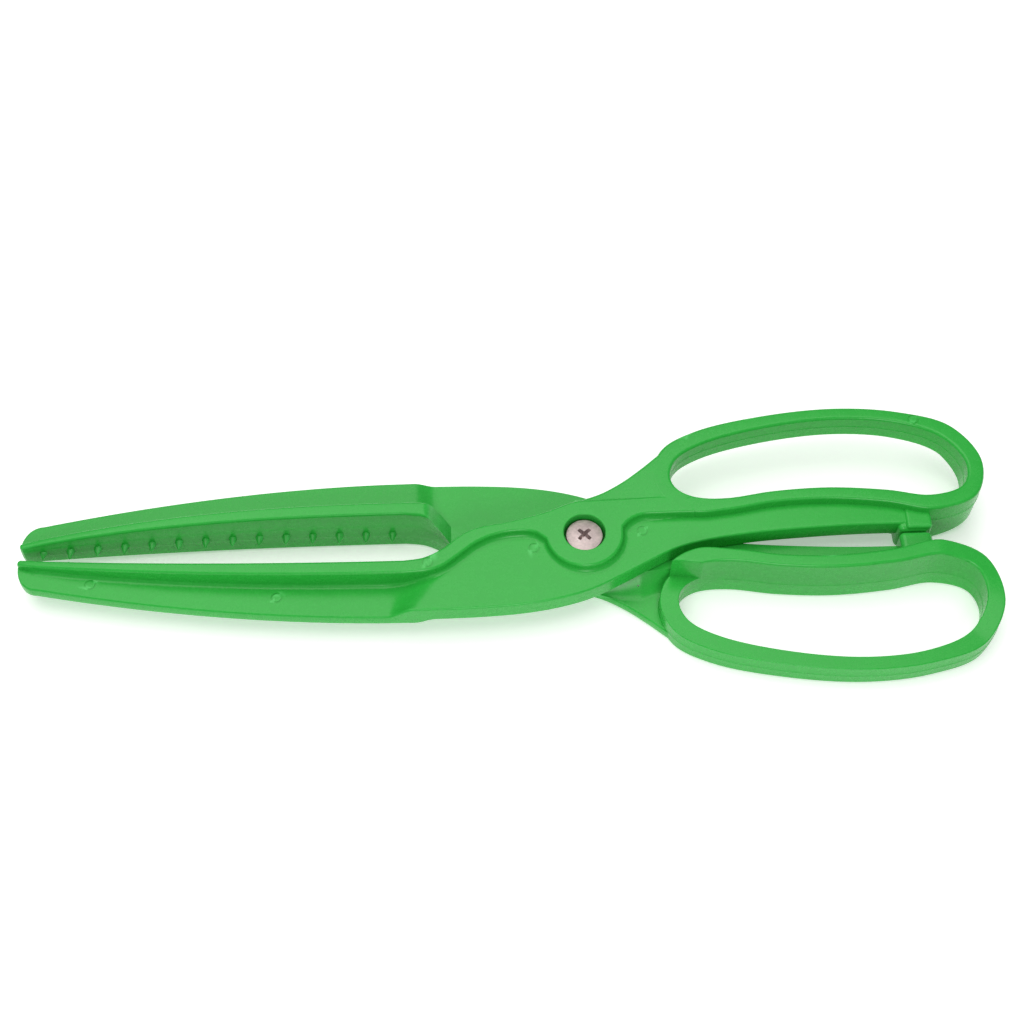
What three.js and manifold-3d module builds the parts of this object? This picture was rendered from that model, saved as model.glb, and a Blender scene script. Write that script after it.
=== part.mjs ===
// Toothed gripping tongs with scissor handles: two identical plastic mouldings, one turned over on
// the other, crossing at a screw. Millimetres, +Z up. The tool lies closed: jaws towards -X, finger
// loops towards +X. The screw's head is on top and its lock nut is underneath.
import * as THREE from "three";
import { mergeVertices } from "three/addons/utils/BufferGeometryUtils.js";
import Module from "manifold-3d";

// ---- Driving dimensions ----

// Whole half, measured from the pivot axis and from the plane where the halves meet.
const JAW_REACH = 147.7;
const HANDLE_REACH = 107.8;
const HALF_THICKNESS = 7.8;
const MATING_GAP = 0.3;
const TOUCH_GAP = 0.3;

// Jaw: a thin web with an upright gripping wall along the mouth.
const THROAT = 47; // pivot to where the gripping wall starts to turn in
const MOUTH_HALF = 6.85; // centre line to the wall, at the throat
const TIP_HALF_GAP = 1.5; // centre line to the wall, at the tips
const WALL = 4;
const TIP_WALL = 1.9;
const TIP_WALL_HALF_HEIGHT = 3.6;
const JAW_HALF_WIDTH = 20.7; // centre line to the web's outer edge, at the throat
const TIP_HALF_WIDTH = 8.7;
const TIP_ROUNDING = 5.2; // how far back from the tip its outline is rounded
const JAW_WEB = 3.36;
const SLOPE_FOOT = 3.5; // throat to the foot of the slope up to the blade, towards the tip
const SLOPE_HEAD = 13; // throat to the head of the slope, along the wall
const SLOPE_HEAD_AT_EDGE = 1.5; // the same, along the web's outer edge
const UNDER_RAMP_START = 2.5; // throat to where the web's underside starts to rise
const UNDER_RAMP_END = 8;
const WALL_RAMP_START = 6; // throat to where the wall's lower half starts to rise
const WALL_RAMP_END = 12;

// Teeth: rounded spikes along the middle of the gripping wall.
const TEETH = 14;
const TOOTH_THROAT_MARGIN = 3.5; // throat to the first tooth
const TOOTH_TIP_MARGIN = 5.6; // last tooth to the jaw tip
const TOOTH_RADIUS = 1.15;
const TOOTH_HEIGHT = 2.5;
const TOOTH_CLEARANCE = 0.5; // tooth point to the centre line
const TOOTH_ROOT = 0.6; // sunk in the wall
const TOOTH_SIDES = 8;
const TOOTH_LINE_RISE = 2; // the row of teeth above the middle of the wall, at the throat

// Blade: the plate round the pivot and along the handle, under a raised rim.
const BLADE_WEB = 5.2;
const NECK = 3.3;
const BOSS_RADIUS = 10.2;
const EDGE_AT_LOOP = 4; // centre line to the blade's free edge, where the loop starts
const EDGE_AT_LUG = 1.8; // the same at the stop lug, on the other side of the centre line

// Finger loop.
const LOOP_NEAR = 23.9; // pivot to the near end of the finger hole
const LOOP_BAND = 4.1; // usual width of the band round the hole
const LOOP_INSIDE = 9.4; // centre line to the hole's near side
const LOOP_OUTSIDE = 34.2; // centre line to the hole's far side
const DEEP_RAMP_START = 7.1; // the deep band rises between these two places in the loop's outline
const DEEP_RAMP_END = 10;
const STEP_RUN = 6; // length of the step that the deep band starts with, along the tool
const STEP_TILT = 0.117; // how much the step turns away from the tool's length

// Stop lug, which meets the other half's lug when the tool is closed.
const LUG_LENGTH = 7.8;
const LUG_TO_END = 16.3; // lug to the far end of the loop
const LUG_PROUD = 0.5; // above the blade's web
const LUG_DEPTH = 4.6; // below the mating plane

// Pivot hardware: an M5 x 10 pan head screw and an M5 nylon-insert lock nut.
const SCREW_DIAMETER = 5;
const SCREW_CHAMFER = 0.5;
const SCREW_SHORT = 0.7; // end of the screw to the underside of the nut
const HEAD_DIAMETER = 9.5;
const HEAD_HEIGHT = 3.7;
const HEAD_CROWN = 0.8;
const HEAD_EDGE = 0.25; // rounding of the head's upper edge
const CROSS_SPAN = 4.4; // tip to tip of the cross recess
const CROSS_SLOT = 1.0;
const CROSS_DEPTH = 2.2;
const NUT_FLATS = 8;
const NUT_HEIGHT = 4.7;
const COLLAR_HEIGHT = 1.5;
const COLLAR_WALL = 0.45;
const COLLAR_LIP = 0.3; // thickness of the lip that is rolled over the nylon ring
const LIP_OVERLAP = 0.1; // how far the lip reaches over the ring
const INSERT_WALL = 0.5;
const INSERT_HEIGHT = 1.2;
const INSERT_CLEARANCE = 0.15; // round the screw
const BORE_CLEARANCE = 0.3; // round the screw and round the nylon ring
const RECESS_CLEARANCE = 0.65; // round the head or the nut
const HARDWARE_SUNK = 0.1; // nut to the outer face

const PLASTIC_GREEN = 0x46c24f;
const SCREW_GREY = 0xd9cdcb;
const NUT_STEEL = 0xb9bcc0;
const NYLON_WHITE = 0xe9ebe6;

// ---- Solids ----

const wasm = await Module();
wasm.setup();

const point = (x, y) => new THREE.Vector2(x, y);

function solidOf(geometry) {
  geometry.deleteAttribute("normal");
  geometry.deleteAttribute("uv");
  const merged = mergeVertices(geometry, 1e-4);
  const solid = new wasm.Manifold(
    new wasm.Mesh({
      numProp: 3,
      vertProperties: merged.attributes.position.array,
      triVerts: new Uint32Array(merged.index.array),
    }),
  );
  if (solid.volume() <= 0) throw new Error("a solid is inside out");
  return solid;
}

function surface(positions, index) {
  return new THREE.BufferGeometry()
    .setAttribute("position", new THREE.Float32BufferAttribute(positions, 3))
    .setIndex(index);
}

function geometryOf(solid) {
  const mesh = solid.getMesh();
  return new THREE.BufferGeometry()
    .setAttribute("position", new THREE.BufferAttribute(mesh.vertProperties, 3))
    .setIndex(new THREE.BufferAttribute(mesh.triVerts, 1));
}

// An outline in plan, drawn upwards from one height to another.
function plate(outline, low, high, hole) {
  const shape = new THREE.Shape(outline);
  if (hole) shape.holes.push(new THREE.Path(hole));
  const geometry = new THREE.ExtrudeGeometry(shape, { depth: high - low, bevelEnabled: false });
  return solidOf(geometry.translate(0, 0, low));
}

// An outline of (x, z) points, drawn across the tool from one y to another.
function profileAlongY(outline, low, high) {
  const geometry = new THREE.ExtrudeGeometry(new THREE.Shape(outline), {
    depth: high - low,
    bevelEnabled: false,
  });
  return solidOf(geometry.rotateX(Math.PI / 2).translate(0, high, 0));
}

// An outline of (y, z) points, drawn along the tool from one x to another.
function profileAlongX(outline, low, high) {
  const geometry = new THREE.ExtrudeGeometry(new THREE.Shape(outline), {
    depth: high - low,
    bevelEnabled: false,
  });
  return solidOf(geometry.rotateZ(Math.PI / 2).rotateY(Math.PI / 2).translate(low, 0, 0));
}

const smooth = (points, steps) => new THREE.SplineCurve(points).getPoints(steps);

function arc(radius, from, to, steps) {
  const curve = new THREE.EllipseCurve(0, 0, radius, radius, from, to, to < from);
  return curve.getPoints(steps);
}

// A round piece about the pivot axis, from (radius, z) points.
const ROUND_SIDES = 32;
const turned = (profile) =>
  solidOf(new THREE.LatheGeometry(profile, ROUND_SIDES).rotateX(Math.PI / 2));

// Points given as shares of the way from one corner to the other, in x and in y.
const sweep = (from, to, shares) =>
  shares.map(([u, v]) => point(from.x + u * (to.x - from.x), from.y + v * (to.y - from.y)));

const middle = (a, b) => a.clone().add(b).multiplyScalar(0.5);

const OVERRUN = 1; // how far a cutting solid runs past what it cuts
const matingFace = MATING_GAP / 2;
const nutCorner = NUT_FLATS / 2 / Math.cos(Math.PI / 6);
const recessRadius = Math.max(HEAD_DIAMETER / 2, nutCorner) + RECESS_CLEARANCE;
const boreRadius = SCREW_DIAMETER / 2 + BORE_CLEARANCE;
const recessDepth = NUT_HEIGHT + TOUCH_GAP + HARDWARE_SUNK;
const recessFloor = HALF_THICKNESS - recessDepth;

// ---- One moulding, with its outer side up and its jaw on the -Y side ----

// Along the jaw, 0 is the throat and 1 is the tip.
const jawX = (along) => -THROAT - along * (JAW_REACH - THROAT);
const jawShare = (x) => Math.max(0, (-x - THROAT) / (JAW_REACH - THROAT));
const tapered = (root, tip, along, power) => tip + (root - tip) * (1 - along ** power);
const mouthHalf = (along) => tapered(MOUTH_HALF, TIP_HALF_GAP, along, 2.4);
const wallThickness = (along) => tapered(WALL, TIP_WALL, along, 2);
const wallHalfHeight = (along) => tapered(HALF_THICKNESS, TIP_WALL_HALF_HEIGHT, along, 2.8);
const jawHalfWidth = (along) => tapered(JAW_HALF_WIDTH, TIP_HALF_WIDTH, along, 1.85);

const roundedFrom = 1 - TIP_ROUNDING / (JAW_REACH - THROAT);
const TIP_CORNER = 0.5; // the tip's end leans back by this at the mouth
const TIP_STEPS = 6;
const JAW_STEPS = 20;
const alongJaw = Array.from({ length: JAW_STEPS + 1 }, (_, i) => (i / JAW_STEPS) * roundedFrom);

// The tip of the jaw web: a quarter ellipse from the outer edge to the end, then back to the mouth.
function tipOutline() {
  const side = jawHalfWidth(roundedFrom);
  const crown = mouthHalf(1) + TIP_WALL;
  const turn = [];
  for (let i = 1; i <= TIP_STEPS; i += 1) {
    const angle = (i / TIP_STEPS) * (Math.PI / 2);
    turn.push(
      point(
        jawX(roundedFrom) - TIP_ROUNDING * Math.sin(angle),
        -crown - (side - crown) * Math.cos(angle),
      ),
    );
  }
  turn.push(point(-JAW_REACH + TIP_CORNER, -mouthHalf(1)));
  return turn;
}

function jawWeb() {
  const end = -THROAT + UNDER_RAMP_END;
  const outer = alongJaw.map((along) => point(jawX(along), -jawHalfWidth(along)));
  const inner = alongJaw.map((along) => point(jawX(along), -mouthHalf(along) - wallThickness(along) / 4));
  const outline = [
    point(end, -JAW_HALF_WIDTH),
    ...outer,
    ...tipOutline(),
    ...inner.reverse(),
    point(end, -MOUTH_HALF - WALL / 4),
  ];
  // The web's underside rises to the mating plane before it reaches the other half's blade.
  const side = [
    point(-JAW_REACH - OVERRUN, JAW_WEB / 2),
    point(-JAW_REACH - OVERRUN, -JAW_WEB / 2),
    point(-THROAT + UNDER_RAMP_START, -JAW_WEB / 2),
    point(end, matingFace),
    point(end + OVERRUN, matingFace),
    point(end + OVERRUN, JAW_WEB / 2),
  ];
  return plate(outline.reverse(), -JAW_WEB, JAW_WEB).intersect(
    profileAlongY(side, -JAW_HALF_WIDTH - OVERRUN, 0),
  );
}

// The finger hole, counter-clockwise from its near end: x from there, y from the centre line, and
// the width of the band outside it as a share of its usual width.
const LOOP = [
  [0, 17, 1.27],
  [1.3, 13.2, 1.27],
  [5.6, 10.1, 1.22],
  [14.1, 9.7, 1],
  [26.1, 11.5, 0.95],
  [41.1, 12.3, 1],
  [56.1, 11.1, 1.07],
  [67.6, 9.2, 1.2],
  [76.3, 12.1, 1.2],
  [78.2, 19, 1.2],
  [73.1, 27.6, 1.24],
  [62.1, 32.5, 1],
  [46.1, 34.2, 0.98],
  [26.1, 31.9, 1.05],
  [9.1, 27, 1.2],
  [2, 22.3, 1.29],
];
const LOOP_FAR = 9; // the far end's place in that list
const [listLength, , farShare] = LOOP[LOOP_FAR];
const listInside = LOOP[7][1];
const listOutside = LOOP[12][1];
const stretch = (HANDLE_REACH - LOOP_BAND * farShare - LOOP_NEAR) / listLength;
const spread = (LOOP_OUTSIDE - LOOP_INSIDE) / (listOutside - listInside);

const holePoints = LOOP.map(([x, y]) =>
  point(LOOP_NEAR + x * stretch, LOOP_INSIDE + (y - listInside) * spread),
);
const outsidePoints = holePoints.map((p, i) => {
  const before = holePoints[(i + LOOP.length - 1) % LOOP.length];
  const after = holePoints[(i + 1) % LOOP.length];
  const along = after.clone().sub(before).normalize();
  return p.clone().add(point(along.y, -along.x).multiplyScalar(LOOP_BAND * LOOP[i][2]));
});
const bandMiddle = (i) => middle(holePoints[i], outsidePoints[i]);

function closedCurve(points) {
  const curve = new THREE.CatmullRomCurve3(
    points.map((p) => new THREE.Vector3(p.x, p.y, 0)),
    true,
    "centripetal",
  );
  return curve.getPoints(LOOP_STEPS).slice(0, -1).map((p) => point(p.x, p.y));
}

const LOOP_STEPS = 96;
const hole = closedCurve(holePoints);
const loopOutside = closedCurve(outsidePoints);

// The loop is a thin band on the outer side, and a deep band beside the gap between the handles.
// The deep band starts in a step across the loop's near end.
function fingerLoop() {
  const step = [
    point(LOOP_NEAR + STEP_RUN, LOOP_INSIDE + STEP_TILT * STEP_RUN),
    point(0, LOOP_INSIDE - STEP_TILT * LOOP_NEAR),
  ];
  const deepSide = plate(
    [
      point(0, 0),
      point(HANDLE_REACH + OVERRUN, 0),
      point(HANDLE_REACH + OVERRUN, LOOP_OUTSIDE),
      point(LOOP_NEAR + 2 * STEP_RUN, LOOP_INSIDE + STEP_RUN / 2),
      ...step,
    ],
    -HALF_THICKNESS - OVERRUN,
    HALF_THICKNESS,
  );
  const thinBand = plate(loopOutside, matingFace, HALF_THICKNESS, hole);
  return thinBand.add(deepBand().intersect(deepSide));
}

// The deep band is drawn section by section, up to the end of the ramp at the loop's far end.
function deepBand() {
  const top = HALF_THICKNESS - OVERRUN;
  const rampTop = matingFace + 0.2;
  const last = Math.round((DEEP_RAMP_END / LOOP.length) * LOOP_STEPS);
  const positions = [];
  const index = [];
  for (let i = 0; i <= last; i += 1) {
    const place = (i / LOOP_STEPS) * LOOP.length;
    const share = (DEEP_RAMP_END - place) / (DEEP_RAMP_END - DEEP_RAMP_START);
    const bottom = rampTop - (rampTop + HALF_THICKNESS) * Math.min(1, Math.max(0, share));
    positions.push(hole[i].x, hole[i].y, bottom, loopOutside[i].x, loopOutside[i].y, bottom);
    positions.push(loopOutside[i].x, loopOutside[i].y, top, hole[i].x, hole[i].y, top);
    if (i === last) continue;
    for (let side = 0; side < 4; side += 1) {
      const a = i * 4 + side;
      const b = i * 4 + ((side + 1) % 4);
      index.push(a, a + 4, b, b, a + 4, b + 4);
    }
  }
  const end = last * 4;
  index.push(0, 1, 2, 0, 2, 3, end, end + 2, end + 1, end, end + 3, end + 2);
  return solidOf(surface(positions, index));
}

// The raised rim: the gripping wall of the jaw, which turns in at the throat, crosses over the boss
// and runs out to the finger loop.
const throatInside = point(-THROAT, -MOUTH_HALF);
const throatOutside = point(-THROAT, -MOUTH_HALF - WALL);
const rimInner = sweep(throatInside, point(0, BOSS_RADIUS), [
  [0, 0],
  [0.106, 0.044],
  [0.213, 0.196],
  [0.298, 0.402],
  [0.394, 0.548],
  [0.574, 0.648],
  [0.766, 0.789],
  [0.915, 0.953],
]);
const rimOuter = sweep(throatOutside, point(-BOSS_RADIUS, 0), [
  [0, 0],
  [0.163, 0.041],
  [0.272, 0.171],
  [0.38, 0.447],
  [0.5, 0.77],
  [0.617, 0.972],
  [0.747, 1.074],
  [0.875, 1.083],
  [0.962, 1.009],
]);

function rim() {
  const wallOutside = alongJaw.map((along) =>
    point(jawX(along), -mouthHalf(along) - wallThickness(along)),
  );
  const wallInside = alongJaw.map((along) => point(jawX(along), -mouthHalf(along)));
  const toLoop = sweep(point(BOSS_RADIUS, 0), outsidePoints[2], [
    [0, 0.29],
    [0.085, 0.69],
    [0.255, 1.04],
    [0.574, 1.08],
    [1, 1],
  ]);
  const outline = [
    ...wallOutside.reverse(),
    ...smooth(rimOuter, 24).slice(1),
    ...arc(BOSS_RADIUS, Math.PI + 0.15, 2 * Math.PI, 18),
    ...smooth(toLoop, 14),
    bandMiddle(2),
    bandMiddle(1),
    ...arc(BOSS_RADIUS, Math.PI / 2, Math.PI / 2 + 0.3, 3),
    ...smooth(rimInner, 28).slice(0, -1).reverse(),
    ...wallInside.slice(1),
    ...tipOutline().slice(-2).reverse(),
  ];
  const end = -JAW_REACH - OVERRUN;
  const heights = alongJaw.map((along) => point(jawX(along), wallHalfHeight(along)));
  const depths = alongJaw.map((along) => point(jawX(along), -wallHalfHeight(along)));
  const side = [
    point(end, -TIP_WALL_HALF_HEIGHT),
    ...depths.reverse(),
    point(-THROAT + WALL_RAMP_START, -HALF_THICKNESS),
    point(-THROAT + WALL_RAMP_END, matingFace),
    point(HANDLE_REACH, matingFace),
    point(HANDLE_REACH, HALF_THICKNESS),
    ...heights,
    point(end, TIP_WALL_HALF_HEIGHT),
  ];
  return plate(outline, -HALF_THICKNESS - OVERRUN, HALF_THICKNESS + OVERRUN).intersect(
    profileAlongY(side, -JAW_HALF_WIDTH, JAW_HALF_WIDTH),
  );
}

// The blade's web: its free edge runs from the jaw to the stop lug, and its other edge lies under
// the middle of the rim and of the loop's band.
const lugEnd = HANDLE_REACH - LUG_TO_END;
const lugStart = lugEnd - LUG_LENGTH;

function bladeWeb() {
  const atLoop = point(LOOP_NEAR, -EDGE_AT_LOOP);
  const besideJaw = sweep(point(-THROAT + SLOPE_HEAD_AT_EDGE, -JAW_HALF_WIDTH), atLoop, [
    [0, 0],
    [0.267, 0.018],
    [0.44, 0.072],
    [0.569, 0.168],
    [0.677, 0.305],
    [0.785, 0.527],
    [0.901, 0.79],
  ]);
  const besideLoop = sweep(atLoop, point(lugStart, EDGE_AT_LUG), [
    [0, 0],
    [0.137, 0.38],
    [0.34, 0.69],
    [0.611, 0.897],
    [0.814, 0.966],
    [1, 1],
  ]);
  const underRim = [
    point(lugEnd, EDGE_AT_LUG),
    point(lugEnd, bandMiddle(7).y),
    bandMiddle(6),
    bandMiddle(5),
    bandMiddle(4),
    bandMiddle(3),
    bandMiddle(2),
    point(BOSS_RADIUS, BOSS_RADIUS / 2),
    middle(rimInner[6], rimOuter[8]),
    middle(rimInner[5], rimOuter[6]),
    middle(rimInner[4], rimOuter[4]),
    middle(rimInner[3], rimOuter[3]),
    middle(rimInner[2], rimOuter[2]),
  ];
  return plate([...smooth([...besideJaw, ...besideLoop], 44), ...underRim], matingFace, BLADE_WEB);
}

// The slope that carries the thin jaw web up to the thick blade web.
function webSlope() {
  const foot = -THROAT - SLOPE_FOOT;
  const corners = [
    [foot, -JAW_HALF_WIDTH, JAW_WEB / 2],
    [foot, -MOUTH_HALF - WALL / 2, JAW_WEB / 2],
    [-THROAT + SLOPE_HEAD, -MOUTH_HALF, BLADE_WEB],
    [-THROAT + SLOPE_HEAD_AT_EDGE, -JAW_HALF_WIDTH, BLADE_WEB],
  ];
  const base = JAW_WEB / 6;
  const positions = [...corners, ...corners.map(([x, y]) => [x, y, base])].flat();
  const index = [0, 3, 1, 3, 2, 1, 4, 5, 7, 5, 6, 7];
  for (let i = 0; i < corners.length; i += 1) {
    const next = (i + 1) % corners.length;
    index.push(i, next, i + 4, next, next + 4, i + 4);
  }
  return solidOf(surface(positions, index));
}

// The thin neck that joins the rim to the near end of the loop.
function neck() {
  const edge = sweep(point(0, BOSS_RADIUS), middle(outsidePoints[15], outsidePoints[14]), [
    [0.019, 0.016],
    [0.195, 0.119],
    [0.404, 0.296],
    [0.614, 0.528],
    [0.824, 0.787],
    [1, 0.96],
  ]);
  const outline = [
    middle(rimInner[7], point(0, 0)),
    rimInner[7],
    ...smooth(edge, 16),
    bandMiddle(14),
    bandMiddle(15),
    bandMiddle(0),
    bandMiddle(1),
    bandMiddle(2),
  ];
  return plate(outline.reverse(), HALF_THICKNESS - NECK, HALF_THICKNESS);
}

function stopLug() {
  const inBand = bandMiddle(7).y;
  const side = [
    point(matingFace, -LUG_DEPTH),
    point(matingFace, BLADE_WEB + LUG_PROUD),
    point(inBand, BLADE_WEB + LUG_PROUD),
    point(inBand, -LUG_DEPTH),
  ];
  return profileAlongX(side, lugStart, lugEnd);
}

// A tooth's outline, as shares of its radius and its height.
const TOOTH_OUTLINE = [
  [1, 0],
  [0.62, 0.5],
  [0.36, 0.9],
  [0, 1],
];

function teeth() {
  const profile = [
    point(0, -TOOTH_ROOT),
    point(TOOTH_RADIUS, -TOOTH_ROOT),
    ...TOOTH_OUTLINE.map(([r, h]) => point(r * TOOTH_RADIUS, h * TOOTH_HEIGHT)),
  ];
  const first = THROAT + TOOTH_THROAT_MARGIN;
  const pitch = (JAW_REACH - TOOTH_TIP_MARGIN - first) / (TEETH - 1);
  const solids = [];
  for (let i = 0; i < TEETH; i += 1) {
    const x = -first - i * pitch;
    const wall = mouthHalf(jawShare(x));
    const height = Math.min(TOOTH_HEIGHT, wall - TOOTH_CLEARANCE);
    const up = TOOTH_LINE_RISE * (1 - jawShare(x));
    const tooth = new THREE.LatheGeometry(profile, TOOTH_SIDES);
    solids.push(solidOf(tooth.scale(1, height / TOOTH_HEIGHT, 1).translate(x, -wall, up)));
  }
  return solids;
}

function moulding() {
  const pieces = [jawWeb(), bladeWeb(), webSlope(), fingerLoop(), neck(), stopLug(), ...teeth()];
  const whole = pieces.reduce((solid, piece) => solid.add(piece), rim());
  const boreAndRecess = turned([
    point(0, -OVERRUN),
    point(boreRadius, -OVERRUN),
    point(boreRadius, recessFloor),
    point(recessRadius, recessFloor),
    point(recessRadius, HALF_THICKNESS + OVERRUN),
    point(0, HALF_THICKNESS + OVERRUN),
  ]);
  return geometryOf(whole.subtract(boreAndRecess));
}

// ---- Pivot hardware, on the pivot axis ----

const headSeat = recessFloor + TOUCH_GAP;
const nutSeat = -headSeat;
const nutBottom = nutSeat - NUT_HEIGHT;
const insertInner = SCREW_DIAMETER / 2 + INSERT_CLEARANCE;
const insertOuter = insertInner + INSERT_WALL;

function pivotScrew() {
  const radius = SCREW_DIAMETER / 2;
  const headRadius = HEAD_DIAMETER / 2;
  const top = headSeat + HEAD_HEIGHT;
  const end = nutBottom + SCREW_SHORT;
  const crown = [];
  for (let i = 0; i <= 4; i += 1) {
    const out = 1 - i / 4;
    crown.push(point((headRadius - HEAD_EDGE) * out, top - (HEAD_CROWN - HEAD_EDGE) * out ** 2));
  }
  const body = turned([
    point(0, end),
    point(radius - SCREW_CHAMFER, end),
    point(radius, end + SCREW_CHAMFER),
    point(radius, headSeat),
    point(headRadius, headSeat),
    point(headRadius, top - HEAD_CROWN),
    ...crown,
  ]);
  const slot = () =>
    new THREE.BoxGeometry(CROSS_SPAN, CROSS_SLOT, CROSS_DEPTH * 2).translate(0, 0, top);
  const cross = solidOf(slot()).add(solidOf(slot().rotateZ(Math.PI / 2)));
  return geometryOf(body.subtract(cross)).rotateZ(Math.PI / 4);
}

// A hexagon with a round collar, which is open where the nylon ring sits.
function lockNut() {
  const hexagon = Array.from({ length: 6 }, (_, i) => {
    const angle = (i * Math.PI) / 3;
    return point(nutCorner * Math.cos(angle), nutCorner * Math.sin(angle));
  });
  const prism = plate(hexagon, nutBottom + COLLAR_HEIGHT, nutSeat);
  const pocket = insertOuter + BORE_CLEARANCE;
  const lip = insertOuter - LIP_OVERLAP;
  const collarRadius = pocket + COLLAR_WALL;
  const collarTop = nutBottom + COLLAR_HEIGHT + OVERRUN / 2;
  const collar = turned([
    point(0, nutBottom),
    point(collarRadius - COLLAR_LIP, nutBottom),
    point(collarRadius, nutBottom + COLLAR_LIP),
    point(collarRadius, collarTop),
    point(0, collarTop),
  ]);
  const pocketTop = nutBottom + COLLAR_LIP + INSERT_HEIGHT + 2 * BORE_CLEARANCE;
  const hollow = turned([
    point(0, nutBottom - OVERRUN),
    point(lip, nutBottom - OVERRUN),
    point(lip, nutBottom + COLLAR_LIP),
    point(pocket, nutBottom + COLLAR_LIP),
    point(pocket, pocketTop),
    point(boreRadius, pocketTop),
    point(boreRadius, nutSeat + OVERRUN),
    point(0, nutSeat + OVERRUN),
  ]);
  return geometryOf(prism.add(collar).subtract(hollow));
}

function nutInsert() {
  const low = nutBottom + COLLAR_LIP + BORE_CLEARANCE;
  const high = low + INSERT_HEIGHT;
  const ring = [
    point(insertInner, low),
    point(insertOuter, low),
    point(insertOuter, high),
    point(insertInner, high),
    point(insertInner, low),
  ];
  return geometryOf(turned(ring));
}

// ---- Assembly ----

function piece(name, geometry, color, roughness, metalness) {
  const mesh = new THREE.Mesh(
    geometry,
    new THREE.MeshStandardMaterial({ color, roughness, metalness }),
  );
  mesh.name = name;
  return mesh;
}

const frontHalf = piece("front_half", moulding(), PLASTIC_GREEN, 0.38, 0);
const rearHalf = piece("rear_half", moulding(), PLASTIC_GREEN, 0.38, 0);
rearHalf.rotation.x = Math.PI;

const tongs = new THREE.Group();
tongs.add(
  frontHalf,
  rearHalf,
  piece("pivot_screw", pivotScrew(), SCREW_GREY, 0.45, 0.9),
  piece("lock_nut", lockNut(), NUT_STEEL, 0.35, 1),
  piece("lock_nut_insert", nutInsert(), NYLON_WHITE, 0.5, 0),
);

// The origin is under the middle of the closed tool, on the surface that it lies on.
const box = new THREE.Box3().setFromObject(tongs, true);
tongs.position.set(-(box.min.x + box.max.x) / 2, -(box.min.y + box.max.y) / 2, -box.min.z);

export default tongs;
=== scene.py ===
import math

import bmesh
import bpy
import numpy as np
from mathutils import Matrix, Vector
from mathutils.geometry import delaunay_2d_cdt


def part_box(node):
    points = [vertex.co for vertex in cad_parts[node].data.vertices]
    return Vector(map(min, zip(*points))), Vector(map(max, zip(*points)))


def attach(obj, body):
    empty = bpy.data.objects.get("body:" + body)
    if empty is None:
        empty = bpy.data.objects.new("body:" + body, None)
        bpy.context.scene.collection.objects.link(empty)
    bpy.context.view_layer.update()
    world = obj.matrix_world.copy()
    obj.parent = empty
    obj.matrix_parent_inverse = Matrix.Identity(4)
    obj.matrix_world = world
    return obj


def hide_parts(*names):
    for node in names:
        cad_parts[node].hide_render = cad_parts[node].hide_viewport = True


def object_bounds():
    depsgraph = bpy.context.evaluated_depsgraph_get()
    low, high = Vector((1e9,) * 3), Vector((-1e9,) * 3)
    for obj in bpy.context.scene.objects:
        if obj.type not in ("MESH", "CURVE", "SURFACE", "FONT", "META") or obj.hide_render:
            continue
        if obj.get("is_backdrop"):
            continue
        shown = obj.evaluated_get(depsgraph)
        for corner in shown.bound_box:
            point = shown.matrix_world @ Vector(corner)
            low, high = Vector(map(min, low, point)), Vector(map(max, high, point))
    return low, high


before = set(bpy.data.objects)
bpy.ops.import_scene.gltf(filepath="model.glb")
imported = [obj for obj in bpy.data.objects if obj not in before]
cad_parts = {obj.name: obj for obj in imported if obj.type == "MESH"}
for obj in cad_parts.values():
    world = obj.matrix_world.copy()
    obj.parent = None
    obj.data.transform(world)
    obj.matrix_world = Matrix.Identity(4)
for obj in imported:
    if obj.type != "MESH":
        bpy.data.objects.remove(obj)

cad_low, cad_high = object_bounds()

# ---- Studio ----
# A plain pale floor, a wide soft light overhead and a small one at the viewer's side. The camera looks
# down on the closed tool from the side of the lower finger loop.
MM = 0.001
AIM = Vector((1.44, 11.70, 7.80)) * MM
CAMERA_DISTANCE = 436.6 * MM
CAMERA_ELEVATION = math.radians(57.07)
CAMERA_TURN = math.radians(-1.71)
CAMERA_LENS = 57.41
SENSOR = 36.0


def look_at(point, start):
    """The turn that points a light at start towards the given point."""
    return (point - start).to_track_quat("-Z", "Y").to_euler()


camera_data = bpy.data.cameras.new("camera")
camera_data.lens = CAMERA_LENS
camera_data.sensor_width = SENSOR
camera_data.clip_start = 0.01
camera = bpy.data.objects.new("camera", camera_data)
bpy.context.scene.collection.objects.link(camera)
camera.rotation_euler = (math.pi / 2 - CAMERA_ELEVATION, 0, CAMERA_TURN)
forward = camera.rotation_euler.to_matrix() @ Vector((0, 0, -1))
camera.location = AIM - forward * CAMERA_DISTANCE
bpy.context.scene.camera = camera


def area_light(name, place, size, watts, colour):
    """A round soft light aimed at the tool."""
    data = bpy.data.lights.new(name, "AREA")
    data.shape = "DISK"
    data.size = size
    data.energy = watts
    data.color = colour
    light = bpy.data.objects.new(name, data)
    light.location = place
    light.rotation_euler = look_at(AIM, Vector(place))
    bpy.context.scene.collection.objects.link(light)


area_light("overhead", place=(-0.08, 0.12, 0.62), size=0.85, watts=3.75, colour=(1.0, 0.99, 0.97))
area_light("front", place=(0.06, -0.62, 0.38), size=0.28, watts=1.6, colour=(0.98, 0.99, 1.0))

SKY_STRENGTH = 0.26
world = bpy.data.worlds.new("studio")
world.use_nodes = True
world.node_tree.nodes["Background"].inputs["Color"].default_value = (1, 1, 1, 1)
world.node_tree.nodes["Background"].inputs["Strength"].default_value = SKY_STRENGTH
bpy.context.scene.world = world
bpy.context.scene.view_settings.view_transform = "Standard"

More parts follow.
